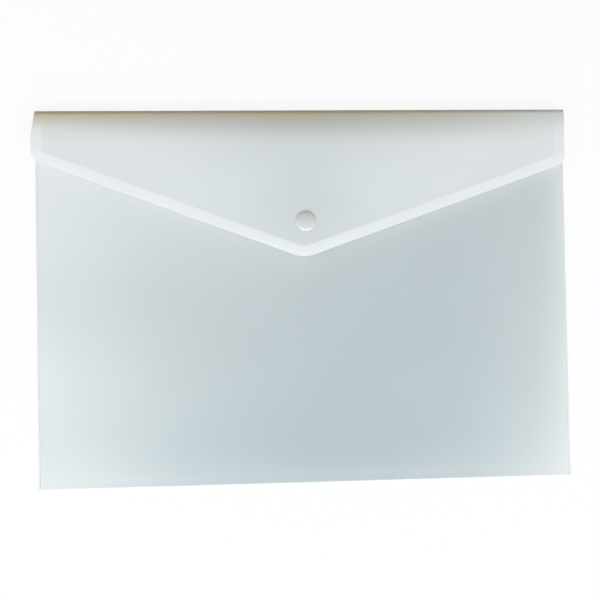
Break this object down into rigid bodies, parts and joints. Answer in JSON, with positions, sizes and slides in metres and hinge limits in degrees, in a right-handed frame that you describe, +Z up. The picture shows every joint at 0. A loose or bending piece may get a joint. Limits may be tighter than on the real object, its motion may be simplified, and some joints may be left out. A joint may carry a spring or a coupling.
{
  "type": "document wallet",
  "caption": "Translucent plastic document wallet: a flat pocket with welded sides and a pointed fold-over flap that hinges at the top fold and closes with a round press snap.",
  "frame": {"origin": "under the middle of the back panel, on the face that the wallet lies on", "axes": "+X to the right across the front, +Y towards the top fold, +Z up out of the front"},
  "size_m": [0.335, 0.2344, 0.0111],
  "materials": {
    "frosted_sheet": "milky translucent polypropylene sheet with a fine satin grain",
    "weld_bead": "melted, slightly glossy polypropylene bead",
    "snap_plastic": "smooth white moulded plastic"
  },
  "bodies": {
    "pocket": {"back_panel": "frosted_sheet", "bottom_fold": "frosted_sheet", "left_weld": "weld_bead", "right_weld": "weld_bead", "front_panel": "frosted_sheet", "top_fold": "frosted_sheet", "front_snap_socket": "snap_plastic", "front_snap_cap": "snap_plastic"},
    "flap": {"flap_panel": "frosted_sheet", "flap_snap_cap": "snap_plastic", "flap_snap_stud": "snap_plastic"}
  },
  "joints": [
    {"name": "flap_hinge", "type": "hinge", "parent": "pocket", "child": "flap", "pos_m": [0, 0.1133, 0.0039], "axis": [-1, 0, 0], "range_deg": [0, 170], "deforming": ["top_fold"]}
  ]
}
